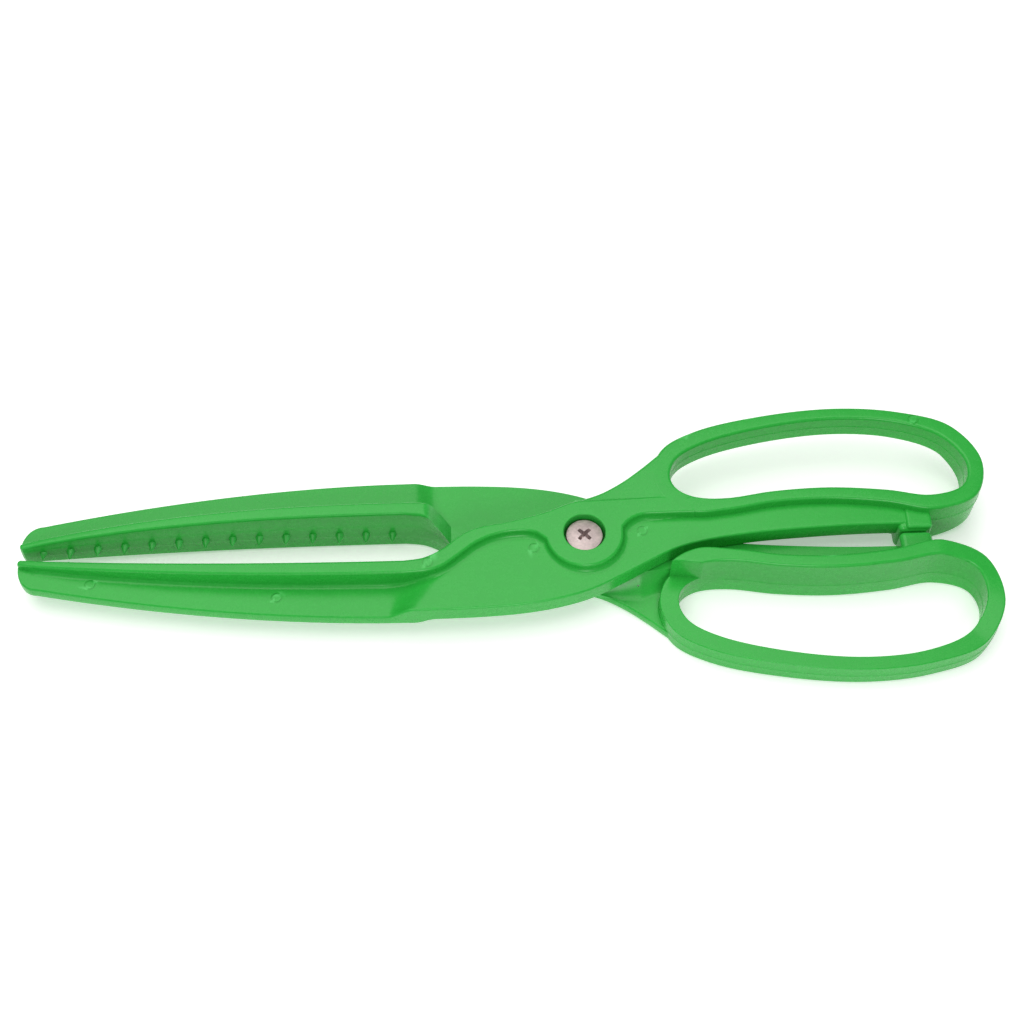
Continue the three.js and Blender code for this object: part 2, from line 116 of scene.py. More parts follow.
FLOOR_SIZE = 4.0
FLOOR_COLOUR = (0.93, 0.93, 0.93, 1)
FLOOR_GLOW = 0.36  # keeps the floor white up to the tool's shadow
corners = [(x * FLOOR_SIZE / 2, y * FLOOR_SIZE / 2, 0) for x, y in ((-1, -1), (1, -1), (1, 1), (-1, 1))]
floor_mesh = bpy.data.meshes.new("floor")
floor_mesh.from_pydata(corners, [], [(0, 1, 2, 3)])
floor = bpy.data.objects.new("floor", floor_mesh)
floor.location.z = cad_low[2]
bpy.context.scene.collection.objects.link(floor)
floor_material = bpy.data.materials.new("floor")
floor_material.use_nodes = True
floor_shader = floor_material.node_tree.nodes["Principled BSDF"]
floor_shader.inputs["Base Color"].default_value = FLOOR_COLOUR
floor_shader.inputs["Roughness"].default_value = 0.8
floor_shader.inputs["Emission Color"].default_value = (1, 1, 1, 1)
floor_shader.inputs["Emission Strength"].default_value = FLOOR_GLOW
floor_mesh.materials.append(floor_material)
floor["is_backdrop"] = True

# ---- The two green halves ----
# Each half is one shot of green polypropylene: a toothed jaw, a blade plate with a raised rim, a neck and
# a finger loop. Both come from the same mould, and one is turned over on the other.
screw_low, screw_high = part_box("pivot_screw")
PIVOT_X = (screw_low[0] + screw_high[0]) / 2
PIVOT_Y = (screw_low[1] + screw_high[1]) / 2
PIVOT_Z = (cad_low[2] + cad_high[2]) / 2

# Sizes of one half in millimetres, from the pivot axis and from the plane where the halves meet.
JAW_REACH = (PIVOT_X - cad_low[0]) / MM
HALF_THICKNESS = (cad_high[2] - cad_low[2]) / 2 / MM
MATING_FACE = 0.15  # half the gap between the two halves
THROAT = 47.0
MOUTH_HALF = 6.85
TIP_HALF_GAP = 1.5
WALL = 4.0
TIP_WALL = 1.9
TIP_WALL_HALF_HEIGHT = 3.6
JAW_HALF_WIDTH = 20.7
TIP_HALF_WIDTH = 8.7
TIP_ROUNDING = 5.2
JAW_WEB_HALF = 1.68
BLADE_WEB = 5.2
BOSS_RADIUS = 10.2
LUG_START = 83.7
LUG_END = 91.5
EDGE = 0.85  # rounding of the rim's and the loop's edges
WEB_EDGE = 0.6  # rounding of the plate's free edge
FILLET = 1.1  # rounding where the rim stands on the plate
DRAFT = 0.16  # how much the middle of a wall stands out past its ends
# How long each size holds before it narrows to its value at the tip.
MOUTH_TAPER = 2.4
WALL_TAPER = 2
HEIGHT_TAPER = 2.8
WIDTH_TAPER = 1.85
# The outer face climbs from the jaw's web to the blade, further from the tip beside the rim.
BLADE_SLOPE_START = -THROAT - 4.5
BLADE_SLOPE_END = -THROAT + 1.5
BLADE_SLOPE_LEAN = 11.5
# The mating face starts behind the jaw's web, on the far side of a short slope.
UNDER_SLOPE_START = -THROAT + 2.5
UNDER_SLOPE_END = -THROAT + 8


def tapered(root, tip, along, power):
    """A size that goes from its value at the throat to its value at the tip."""
    return tip + (root - tip) * (1 - np.clip(along, 0, 1) ** power)


def jaw_share(x):
    """0 at the throat, 1 at the tip."""
    return (-np.asarray(x, float) - THROAT) / (JAW_REACH - THROAT)


def mouth_half(x):
    """Half the mouth's width between the two gripping walls."""
    return tapered(MOUTH_HALF, TIP_HALF_GAP, jaw_share(x), MOUTH_TAPER)


def wall_thickness(x):
    """Thickness of the gripping wall."""
    return tapered(WALL, TIP_WALL, jaw_share(x), WALL_TAPER)


def wall_half_height(x):
    """Height of the gripping wall above the middle of the tool."""
    return tapered(HALF_THICKNESS, TIP_WALL_HALF_HEIGHT, jaw_share(x), HEIGHT_TAPER)


def jaw_half_width(x):
    """The jaw's width from the middle of the tool to its free edge."""
    return tapered(JAW_HALF_WIDTH, TIP_HALF_WIDTH, jaw_share(x), WIDTH_TAPER)


def step(value, start, end):
    """A smooth climb from 0 at start to 1 at end."""
    share = np.clip((np.asarray(value, float) - start) / (end - start), 0, 1)
    return share * share * (3 - 2 * share)


def curve_span(a, b, c, d, steps=None, spacing=None):
    """Points from b up to c on the centripetal Catmull-Rom curve through a, b, c and d."""
    k = [0.0]
    for q, r in ((a, b), (b, c), (c, d)):
        k.append(k[-1] + max(np.linalg.norm(r - q), 1e-6) ** 0.5)
    steps = steps or max(2, int(round(np.linalg.norm(c - b) / spacing)))
    points = []
    for t in np.linspace(k[1], k[2], steps, endpoint=False):
        ab = a + (b - a) * (t - k[0]) / (k[1] - k[0])
        bc = b + (c - b) * (t - k[1]) / (k[2] - k[1])
        cd = c + (d - c) * (t - k[2]) / (k[3] - k[2])
        abc = ab + (bc - ab) * (t - k[0]) / (k[2] - k[0])
        bcd = bc + (cd - bc) * (t - k[1]) / (k[3] - k[1])
        points.append(abc + (bcd - abc) * (t - k[1]) / (k[2] - k[1]))
    return points


def spline(points, spacing):
    """An open curve through the given points, with its own points about spacing apart."""
    p = np.asarray(points, float)
    p = np.vstack([2 * p[0] - p[1], p, 2 * p[-1] - p[-2]])
    spans = [curve_span(*p[i:i + 4], spacing=spacing) for i in range(len(p) - 3)]
    return np.array([q for span in spans for q in span] + [p[-2]])


def closed_spline(points, steps):
    """A closed curve through the given points, with the same number of steps between each two."""
    p = np.asarray(points, float)
    spans = [curve_span(*(p[(i + j) % len(p)] for j in (-1, 0, 1, 2)), steps=steps) for i in range(len(p))]
    return np.array([q for span in spans for q in span])


def solid(rows, closed_rows=False, name="solid"):
    """A closed body through loops of points, capped unless the rows close on themselves."""
    bm = bmesh.new()
    verts = [[bm.verts.new(Vector(p) * MM) for p in row] for row in rows]
    count = len(rows[0])
    last = len(rows) if closed_rows else len(rows) - 1
    for i in range(last):
        low, high = verts[i], verts[(i + 1) % len(rows)]
        for j in range(count):
            k = (j + 1) % count
            bm.faces.new((low[j], low[k], high[k], high[j]))
    if not closed_rows:
        for i in (0, -1):
            p = np.asarray(rows[i], float)
            flat = p[:, np.sort(np.argsort(np.ptp(p, axis=0))[1:])]
            made = delaunay_2d_cdt([Vector(q) for q in flat], [], [list(range(count))], 1, 1e-7)
            if len(made[0]) != count:
                raise ValueError(f"{name}: the cap's outline crosses itself")
            for face in made[2]:
                bm.faces.new([verts[i][k] for k in face])
    bmesh.ops.recalc_face_normals(bm, faces=bm.faces)
    if bm.calc_volume(signed=True) < 0:
        bmesh.ops.reverse_faces(bm, faces=bm.faces)
    mesh = bpy.data.meshes.new(name)
    bm.to_mesh(mesh)
    bm.free()
    piece = bpy.data.objects.new(name, mesh)
    bpy.context.scene.collection.objects.link(piece)
    return piece


def outward(outline):
    """Unit normals of a counter-clockwise outline."""
    before = np.roll(outline, 1, axis=0)
    after = np.roll(outline, -1, axis=0)
    a = (outline - before) / np.maximum(np.linalg.norm(outline - before, axis=1), 1e-9)[:, None]
    b = (after - outline) / np.maximum(np.linalg.norm(after - outline, axis=1), 1e-9)[:, None]
    t = a + b
    t /= np.maximum(np.linalg.norm(t, axis=1), 1e-9)[:, None]
    return np.stack([t[:, 1], -t[:, 0]], axis=1)


def quarter(radius, steps):
    """Inset and drop of a rounded edge, from its flat face to its wall."""
    angles = np.linspace(0, math.pi / 2, steps + 1)
    return [(radius * (1 - math.sin(a)), radius * (1 - math.cos(a))) for a in angles]


def bladed_top(x, y):
    """Height of the plate's outer face: thin on the jaw, a slope, then the thick blade."""
    lean = (y + JAW_HALF_WIDTH) / (JAW_HALF_WIDTH - MOUTH_HALF) * BLADE_SLOPE_LEAN
    climb = step(x, BLADE_SLOPE_START, np.maximum(BLADE_SLOPE_END + 1 + lean, -THROAT))
    return JAW_WEB_HALF + (BLADE_WEB - JAW_WEB_HALF) * climb


def bladed_bottom(x):
    """Height of the plate's inner face."""
    return -JAW_WEB_HALF + (MATING_FACE + JAW_WEB_HALF) * step(x, UNDER_SLOPE_START, UNDER_SLOPE_END)


# The raised rim in plan: gripping wall, turn at the throat, boss, and the run to the loop.
RIM_INNER = [(-47, -6.85), (-42, -6.1), (-37, -3.5), (-33, 0), (-28.5, 2.5), (-20, 4.2), (-11, 6.6),
             (-4, 9.4)]
RIM_OUTER = [(-47, -10.85), (-41, -10.4), (-37, -9), (-33, -6), (-28.6, -2.5), (-24.3, -0.3), (-19.5, 0.8),
             (-14.8, 0.9), (-11.6, 0.1)]
RIM_TO_LOOP = [(10.2, 1.4), (11.8, 3.3), (15, 5), (21, 5.2), (29.2, 5.2)]

# The finger hole, counter-clockwise from its near end: x, y and the width of the band outside it.
LOOP = [(23.9, 17, 5.2), (25.2, 13.2, 5.2), (29.6, 10.3, 5), (38.2, 9.9, 4.1), (50.3, 11.7, 3.9),
        (65.4, 12.5, 4.1), (80.6, 11.3, 4.4), (92.2, 9.4, 4.9), (101, 12.3, 4.9), (102.88, 19.1, 4.9),
        (97.7, 27.6, 5.1), (86.6, 32.5, 4.1), (70.5, 34.2, 4), (50.3, 31.9, 4.3), (33.1, 27, 4.9),
        (25.9, 22.3, 5.3)]


JAW_STEPS = 84
RIM_SPACING = 0.9  # between the points of its outline
LOOP_RUN_SPACING = 0.8
BOSS_STEPS = 40
MOST_EDGE = 0.3  # largest share of the wall that its edge's rounding takes
SMALL_EDGE = 0.25  # rounding where the rim meets the mating face
RIM_TO_NECK = (12, 24)  # the rim's inner side goes over into the neck
RIM_TO_JAW = (-THROAT + 6, -THROAT + 12)  # the fillet under the plate fades out
RAMP_START = -41.0  # the wall's lower edge climbs from here
RAMP_RUN = 6.0
RAMP_CLEAR = -34.4  # from here on the rim stands on the plate
RAMP_BEND = 0.07  # how gently the ramp starts
PARTING_HEIGHT = 2.9  # the mould's parting line on the gripping wall, at the throat
PARTING_DROP = 2.0  # and how much lower it is at the tip
# The rim's end at the tip: x from the jaw's end, y from the mouth.
TIP_CORNERS = [(0.9, 0), (0.25, 0.35), (0, 0.95), (0.1, 1.6), (0.5, TIP_WALL)]
# The fold line beside the neck runs straight from the boss to the loop.
FOLD = [(29.4, 7.6), (23.8, 11.0), (18, 10.8), (12, 10.55), (6, 10.35)]


def rim_outline():
    """The rim's outline, and 1 where the plate is beside it and 0 where its wall is free."""
    jaw_x = np.linspace(-THROAT, -JAW_REACH + TIP_ROUNDING, JAW_STEPS)
    wall_out = np.stack([jaw_x, -mouth_half(jaw_x) - wall_thickness(jaw_x)], axis=1)[::-1]
    wall_in = np.stack([jaw_x, -mouth_half(jaw_x)], axis=1)
    turn_out = spline(RIM_OUTER, RIM_SPACING)
    angles = np.linspace(math.pi + 0.15, 2 * math.pi - 0.02, BOSS_STEPS)
    boss = np.stack([BOSS_RADIUS * np.cos(angles), BOSS_RADIUS * np.sin(angles)], axis=1)
    run_out = spline(RIM_TO_LOOP, LOOP_RUN_SPACING)
    web_side = np.concatenate([wall_out, turn_out[1:-1], boss, run_out])
    angles = np.linspace(math.pi / 2, math.pi / 2 + 0.35, 5)
    crown = np.stack([BOSS_RADIUS * np.cos(angles), BOSS_RADIUS * np.sin(angles)], axis=1)
    turn_in = spline(RIM_INNER, RIM_SPACING)[::-1]
    end = mouth_half(-JAW_REACH)
    tip = np.array([(-JAW_REACH + u, -end - v) for u, v in TIP_CORNERS])
    mouth_side = np.concatenate([FOLD, crown[:-1], turn_in[1:-1], wall_in, tip])
    outline = np.concatenate([web_side, mouth_side])
    mask = np.concatenate([np.ones(len(web_side)), np.zeros(len(mouth_side))])
    return outline, mask


def rim():
    """The raised rim: rows from its lower edge, past the plate and its fillets, to its rounded top."""
    outline, mask = rim_outline()
    normals = outward(outline)
    x = outline[:, 0]
    top = wall_half_height(x)
    jaw = 1 - step(x, *RIM_TO_JAW)
    low = np.where(x < RAMP_CLEAR, -top, MATING_FACE)
    edge = np.minimum(EDGE, MOST_EDGE * wall_thickness(np.minimum(x, -THROAT)))
    small = SMALL_EDGE + (edge - SMALL_EDGE) * (x < RAMP_CLEAR)
    parting = PARTING_HEIGHT - PARTING_DROP * np.clip(jaw_share(x), 0, 1)
    lean = DRAFT * np.maximum(1 - mask, step(x, *RIM_TO_NECK))
    rows = []

    def row(out, height):
        points = outline + normals * (out - lean)[:, None]
        rows.append(np.column_stack([points, height(points[:, 0], points[:, 1])]))

    foot = mask * FILLET * (1 - step(x, 12, 28))
    for inset, drop in quarter(1.0, 4):
        row(-small * inset, lambda px, py: low + small * drop)
    # Below the plate the fillet is there only on the jaw.
    for share in (0.0, 0.35, 0.7, 1.0):
        angle = share * math.pi / 2
        flat = MATING_FACE + small + 0.08 * share
        row(foot * (1 - math.cos(angle)) * jaw + lean * share * 0.6,
            lambda px, py: (bladed_bottom(px) - FILLET * (1 - math.sin(angle))) * jaw + flat * (1 - jaw))
    for share in (1.0, 0.7, 0.35, 0.0):
        angle = share * math.pi / 2
        rise = FILLET * (1 - math.sin(angle))
        row(foot * (1 - math.cos(angle)) + (1 - mask) * lean * (0.6 + 0.4 * share),
            lambda px, py: (bladed_top(px, py) + rise) * mask + (parting + 0.6 * rise) * (1 - mask))
    for inset, drop in quarter(1.0, 6)[::-1]:
        row(-edge * inset, lambda px, py: top - edge * drop)
    return solid(rows, name="rim")


def wall_ramp():
    """What the ramp takes off under the gripping wall, so that the other half's blade fits in."""
    x = np.linspace(RAMP_START - 3, RAMP_START + RAMP_RUN + 9, 60)
    rise = np.minimum(RAMP_BEND * np.log1p(np.exp((x - RAMP_START) / RAMP_RUN / RAMP_BEND)), 1)
    start = -HALF_THICKNESS - 0.02  # a hair below the wall, so that the cut begins cleanly
    z = start + (MATING_FACE - 0.001 - start) * rise
    profile = [(x[0], -HALF_THICKNESS - 1), (x[-1], -HALF_THICKNESS - 1)] + list(zip(x, z))[::-1]
    return solid([[(px, y, pz) for px, pz in profile] for y in (-14, 10)], name="wall_ramp")


# The plate's free edge, from the jaw to the stop lug.
FREE_EDGE = [(-45.5, -20.7), (-27, -20.4), (-15, -19.5), (-6, -17.9), (1.5, -15.6), (9, -11.9),
             (17, -7.5), (24, -4), (32, -1.8), (44, 0), (60, 1.2), (72, 1.7), (84, 1.8), (91.4, 1.8)]
# The line under the rim and the loop's band where the plate ends out of sight.
HIDDEN_EDGE = [(-47, -8.8), (-41, -8.2), (-37, -6.3), (-33, -3), (-28.5, 0), (-20, 2.5), (-11, 4), (0, 5),
               (10, 6), (20, 7.6), (29.5, 7.7), (38, 7.8), (50, 9.7), (65, 10.4), (80, 9.1), (91.4, 6.9)]


JAW_END = -THROAT + 1.5  # from here on the free edge follows its own line
BLADE_STEPS = 128


def plate():
    """The jaw's web and the blade in one: a cross section at each place along the tool."""
    edge = spline(FREE_EDGE, 1.2)
    hidden = spline(HIDDEN_EDGE, 1.0)
    tip = -JAW_REACH + TIP_ROUNDING
    jaw_x = np.concatenate([
        -JAW_REACH + TIP_ROUNDING * (1 - np.cos(np.linspace(0.06, math.pi / 2, 14))),
        np.linspace(tip, -THROAT - 8, 60)[1:],
        np.linspace(-THROAT - 8, JAW_END, 14)[1:],
    ])
    blade_x = np.linspace(JAW_END, LUG_END - 0.1, BLADE_STEPS)[1:]
    rows = []
    for x in np.concatenate([jaw_x, blade_x]):
        if x <= JAW_END:
            free = -float(jaw_half_width(x))
            if x < tip:
                side = float(jaw_half_width(tip))
                crown = float(mouth_half(-JAW_REACH)) + TIP_WALL
                free = -crown - (side - crown) * math.sqrt(max(0.0, 1 - ((tip - x) / TIP_ROUNDING) ** 2))
        else:
            free = float(np.interp(x, edge[:, 0], edge[:, 1]))
        if x <= -THROAT:
            inner = -float(mouth_half(x)) - float(wall_thickness(x)) / 2
        else:
            inner = float(np.interp(x, hidden[:, 0], hidden[:, 1]))
        # The free edge: rounded above, less below on the blade, and leaning in from its middle.
        low = float(bladed_bottom(x))
        rounding = min(WEB_EDGE, 0.4 * (inner - free))
        lower = rounding * (0.4 + 0.6 * (1 - float(step(x, -THROAT, -THROAT + 8))))
        lean = DRAFT * (0.4 if x > -THROAT else 0.8)
        section = []
        for y in np.linspace(inner, free + rounding + lean, 14)[:-1]:
            section.append((x, y, float(bladed_top(x, y))))
        high = float(bladed_top(x, free))
        for inset, drop in quarter(rounding, 5):
            section.append((x, free + lean + inset, high - drop))
        middle = 0.0 if x < -THROAT else MATING_FACE + lower + 0.2
        section.append((x, free, max(middle, low + lower + 0.05)))
        for inset, drop in quarter(lower, 4)[::-1]:
            section.append((x, free + lean * 0.3 + inset, low + drop))
        for y in np.linspace(free + lower + lean, inner, 8)[1:]:
            section.append((x, y, low))
        rows.append(section)
    return solid(rows, name="plate")


UNDER_NECK_X = (-2, 0, 4, 9, 14.7, 18.8, 23.2)
UNDER_NECK_HIGH = (10.6, 10.3, 9.2, 8.4, 7.8, 7.35, 6.9)  # where the slope leaves the mating face
UNDER_NECK_LOW = (11.0, 11.2, 12.0, 13.9, 14.4, 12.4, 10.8)  # where it runs out on the neck
UNDER_NECK_CURVE = 1.7  # how hollow the slope is
NECK = 3.3  # thickness
NECK_EDGE = [(0.5, 10.5), (5.2, 12.4), (10.8, 15.7), (16.4, 20), (22, 24.8), (27.0, 28.2)]
# The neck's side that is out of sight in the boss, the rim and the loop.
NECK_INSIDE = [(31.5, 29), (23.8, 23.8), (21.4, 17), (22.8, 12.2), (23.6, 8.6), (12, 8.4), (1, 8), (-3, 8.6)]
NECK_PARTING = 1.5  # height of its parting line above its lower face
NECK_DIP = 0.42  # how far its face dips towards the fold beside the rim


def neck_slope(above):
    """The body above or below the slope that leads from the mating face out to the thin neck."""
    rows = []
    for x in np.linspace(UNDER_NECK_X[0], UNDER_NECK_X[-1], 48):
        high = float(np.interp(x, UNDER_NECK_X, UNDER_NECK_HIGH))
        low = max(float(np.interp(x, UNDER_NECK_X, UNDER_NECK_LOW)), high + 0.3)
        climb = HALF_THICKNESS - NECK - MATING_FACE
        curve = [(high + (low - high) * t, MATING_FACE + climb * (1 - (1 - t) ** UNDER_NECK_CURVE))
                 for t in np.linspace(0, 1, 14)]
        if above:
            section = [(high - 0.6, 6.0), (high - 0.6, MATING_FACE)] + curve + [(low, 6.0)]
        else:
            section = [(high, -1.0)] + curve + [(32.0, HALF_THICKNESS - NECK), (32.0, -1.0)]
        rows.append([(x, y, z) for y, z in section])
    return solid(rows, name="neck_slope")


def neck():
    """The thin plate that runs from the boss up to the finger loop."""
    edge = spline(NECK_EDGE, RIM_SPACING)
    outline = np.concatenate([edge, NECK_INSIDE])[::-1]
    visible = np.concatenate([np.ones(len(edge)), np.zeros(len(NECK_INSIDE))])[::-1]
    shift = outward(outline) * visible[:, None]
    x, y = outline[:, 0], outline[:, 1]
    dip = NECK_DIP * np.clip(1 - (y - BOSS_RADIUS) / 13, 0, 1) * step(x, -4, 6) * (1 - step(x, 12, 21))
    top = HALF_THICKNESS - dip
    low = HALF_THICKNESS - NECK
    rows = []
    for inset, drop in quarter(WEB_EDGE, 4):
        rows.append(np.column_stack([outline - shift * inset, np.full(len(x), low + drop)]))
    rows.append(np.column_stack([outline + shift * DRAFT / 2, np.full(len(x), low + NECK_PARTING)]))
    for inset, drop in quarter(EDGE, 6)[::-1]:
        rows.append(np.column_stack([outline - shift * inset, top - drop]))
    return solid(rows, name="neck")


BAND_START = (22.6, 9.3, 0.117)  # a point of the line where the deep band starts, and the line's slope
BAND_DEEP = (7.0, 9.9)  # the places along the loop where the deep band starts to fade and where it is gone
UPPER_PARTING = 3.9  # the parting line's height on the shallow band
PARTING_RIDGE = (0.13, 0.28)  # how far the parting line stands out, and half its height
LOOP_FINE = 40  # points between each two of the hole's
LOOP_STEP = 0.125
SHALLOW_EDGE = 0.3  # rounding under the shallow band
# Places just past the start of the deep band, and the share of its depth there.
BAND_STEP = [(0, 0), (0.012, 0.93), (0.04, 0.985), (0.085, 1)]
TURN_REACH = 0.85  # how far the slant at its start is felt


def finger_loop():
    """The band round the finger hole: shallow beside the neck, and the tool's full height further on."""
    loop = np.array(LOOP)
    hole_points = loop[:, :2]
    along = np.roll(hole_points, -1, axis=0) - np.roll(hole_points, 1, axis=0)
    along /= np.linalg.norm(along, axis=1)[:, None]
    outside_points = hole_points + np.column_stack([along[:, 1], -along[:, 0]]) * loop[:, 2:3]
    dense_hole = closed_spline(hole_points, LOOP_FINE)
    dense_outside = closed_spline(outside_points, LOOP_FINE)
    count = len(LOOP)

    def at(curve, place):
        """The point at a place on the loop, where place 1 is the hole's second point."""
        k = (place % count) * LOOP_FINE
        i = int(math.floor(k)) % len(curve)
        share = k - math.floor(k)
        return curve[i] * (1 - share) + curve[(i + 1) % len(curve)] * share

    def crossing(curve):
        """Where an edge of the band crosses the line on which the deep band starts."""
        x, y, slope = BAND_START
        for place in np.arange(0.6, 2.8, 0.01):
            p = at(curve, place)
            if p[1] < y + slope * (p[0] - x):
                return place
        raise ValueError("finger_loop: the deep band has no start")

    step_hole, step_outside = crossing(dense_hole), crossing(dense_outside)
    centre = (step_hole + step_outside) / 2
    skew = (step_hole - step_outside) / 2

    places = [p for p in np.arange(0, count, LOOP_STEP) if abs(p - centre) > 0.09]
    places = sorted(places + [centre - 0.03] + [centre + offset for offset, _ in BAND_STEP])
    deep_places = [centre + offset for offset, _ in BAND_STEP] + list(BAND_DEEP)
    deep_shares = [share for _, share in BAND_STEP] + [1, 0]
    rows = []
    for place in places:
        turn = skew * math.exp(-((place - centre) / TURN_REACH) ** 2)
        inner = at(dense_hole, place + turn)
        outer = at(dense_outside, place - turn)
        width = np.linalg.norm(outer - inner)
        across = (outer - inner) / width
        depth = float(np.interp(place, deep_places, deep_shares)) if place > centre else 0.0
        low = MATING_FACE - (HALF_THICKNESS + MATING_FACE) * depth
        under = SHALLOW_EDGE + (EDGE - SHALLOW_EDGE) * min(1.0, depth * 1.5)
        parting = UPPER_PARTING - PARTING_DROP * min(1.0, depth)
        out, tall = PARTING_RIDGE
        side = [(inset + DRAFT, HALF_THICKNESS - drop) for inset, drop in quarter(EDGE, 6)]
        side += [(out, parting + tall), (0, parting), (out, parting - tall)]
        side += [(inset + DRAFT, low + drop) for inset, drop in quarter(under, 5)[::-1]]
        section = side + [(width - u, z) for u, z in side[::-1]] + [(width / 2, HALF_THICKNESS)]
        rows.append([(*(inner + across * u), z) for u, z in section])
    return solid(rows, closed_rows=True, name="finger_loop")


def rounded_block(low, high, radius):
    """A box between two corners, with all its edges rounded."""
    bm = bmesh.new()
    size = [(h - l) * MM for l, h in zip(low, high)]
    middle = Vector([(h + l) / 2 * MM for l, h in zip(low, high)])
    bmesh.ops.create_cube(bm, size=1)
    bmesh.ops.scale(bm, vec=size, verts=bm.verts)
    bmesh.ops.bevel(bm, geom=bm.edges[:], offset=radius * MM, segments=4, profile=0.5, affect="EDGES")
    bmesh.ops.translate(bm, vec=middle, verts=bm.verts)
    mesh = bpy.data.meshes.new("block")
    bm.to_mesh(mesh)
    bm.free()
    piece = bpy.data.objects.new("block", mesh)
    bpy.context.scene.collection.objects.link(piece)
    return piece


def turned(profile, sides=72, name="turned"):
    """A round body about the pivot's axis, from (radius, z) points that start and end on the axis."""
    bm = bmesh.new()
    rings = []
    for radius, z in profile:
        if radius == 0:
            rings.append([bm.verts.new((0, 0, z * MM))])
            continue
        rings.append([bm.verts.new(Vector((radius * math.cos(a), radius * math.sin(a), z)) * MM)
                      for a in np.linspace(0, 2 * math.pi, sides, endpoint=False)])
    for low, high in zip(rings, rings[1:]):
        for j in range(sides):
            k = (j + 1) % sides
            if len(low) == 1:
                bm.faces.new((low[0], high[k], high[j]))
            elif len(high) == 1:
                bm.faces.new((low[j], low[k], high[0]))
            else:
                bm.faces.new((low[j], low[k], high[k], high[j]))
    bmesh.ops.recalc_face_normals(bm, faces=bm.faces)
    mesh = bpy.data.meshes.new(name)
    bm.to_mesh(mesh)
    bm.free()
    piece = bpy.data.objects.new(name, mesh)
    bpy.context.scene.collection.objects.link(piece)
    return piece


def baked(piece):
    """Replaces a piece's mesh with what its modifiers make of it."""
    depsgraph = bpy.context.evaluated_depsgraph_get()
    mesh = bpy.data.meshes.new_from_object(piece.evaluated_get(depsgraph), preserve_all_data_layers=True,
                                           depsgraph=depsgraph)
    piece.modifiers.clear()
    old = piece.data
    piece.data = mesh
    bpy.data.meshes.remove(old)


def combine(target, other, operation):
    """Joins the other body to the target, or cuts it out of the target, and deletes it."""
    cut = target.modifiers.new("combine", "BOOLEAN")
    cut.operation = operation
    cut.solver = "MANIFOLD"
    cut.object = other
    baked(target)
    mesh = other.data
    bpy.data.objects.remove(other)
    bpy.data.meshes.remove(mesh)


BORE_RADIUS = 2.8
RECESS_RADIUS = 5.4
RECESS_FLOOR = 2.7
RECESS_LIP = 0.35  # rounding of the recess's mouth
MARK_RADIUS = 1.5
MARK_LINE = 0.4
MARK_DEPTH = 0.1
# Ejector pins leave faint rings: x, y and the height of the face they are on.
MARKS = [(-13.2, -3.0, BLADE_WEB), (15.3, 1.4, BLADE_WEB), (-40.8, -8.1, HALF_THICKNESS),
         (-79.9, -13.9, JAW_WEB_HALF), (-128.3, -8.6, JAW_WEB_HALF), (91.1, 33.3, HALF_THICKNESS)]


def ejector_ring(x, y, z):
    """The shallow groove that an ejector pin leaves."""
    profile = [(MARK_RADIUS - MARK_LINE, z - MARK_DEPTH), (MARK_RADIUS, z - MARK_DEPTH),
               (MARK_RADIUS, z + 1), (MARK_RADIUS - MARK_LINE, z + 1)]
    rows = []
    for angle in np.linspace(0, 2 * math.pi, 28, endpoint=False):
        rows.append([(x + r * math.cos(angle), y + r * math.sin(angle), h) for r, h in profile])
    return solid(rows, closed_rows=True, name="ring")


moulding = rim()
combine(moulding, wall_ramp(), "DIFFERENCE")
combine(moulding, plate(), "UNION")
combine(moulding, neck_slope(above=False), "DIFFERENCE")
stop_lug = rounded_block((LUG_START + 1, 0.4, -3), (LUG_END, 7, BLADE_WEB + 0.5), 0.8)
lug_foot = rounded_block((LUG_START - 1, MATING_FACE, -4.6), (LUG_END - 0.2, 7, BLADE_WEB - 0.3), 1.5)
for part in (neck_slope(above=True), neck(), finger_loop(), stop_lug, lug_foot):
    combine(moulding, part, "UNION")
recess = [(0, -2), (BORE_RADIUS, -2), (BORE_RADIUS, RECESS_FLOOR), (RECESS_RADIUS, RECESS_FLOOR)]
recess += [(RECESS_RADIUS + RECESS_LIP * (1 - math.cos(a)), HALF_THICKNESS - RECESS_LIP * (1 - math.sin(a)))
           for a in np.linspace(0, math.pi / 2, 5)]
recess += [(RECESS_RADIUS + RECESS_LIP, HALF_THICKNESS + 1), (0, HALF_THICKNESS + 1)]
combine(moulding, turned(recess), "DIFFERENCE")
for mark in MARKS:
    combine(moulding, ejector_ring(*mark), "DIFFERENCE")


def smoothed(mesh, angle):
    """Smooth faces, sharp where they meet at more than the given angle."""
    bm = bmesh.new()
    bm.from_mesh(mesh)
    bmesh.ops.remove_doubles(bm, verts=bm.verts, dist=1e-6)
    bmesh.ops.dissolve_degenerate(bm, edges=bm.edges, dist=1e-6)
    for face in bm.faces:
        face.smooth = True
    for edge in bm.edges:
        edge.smooth = len(edge.link_faces) != 2 or edge.calc_face_angle(0) < angle
    bm.to_mesh(mesh)
    bm.free()


SHARP_ANGLE = 32
smoothed(moulding.data, math.radians(SHARP_ANGLE))
weighted = moulding.modifiers.new("weighted", "WEIGHTED_NORMAL")
weighted.mode = "FACE_AREA"
weighted.weight = 50
weighted.keep_sharp = True
baked(moulding)
print("half:", len(moulding.data.vertices), "points", len(moulding.data.polygons), "faces")


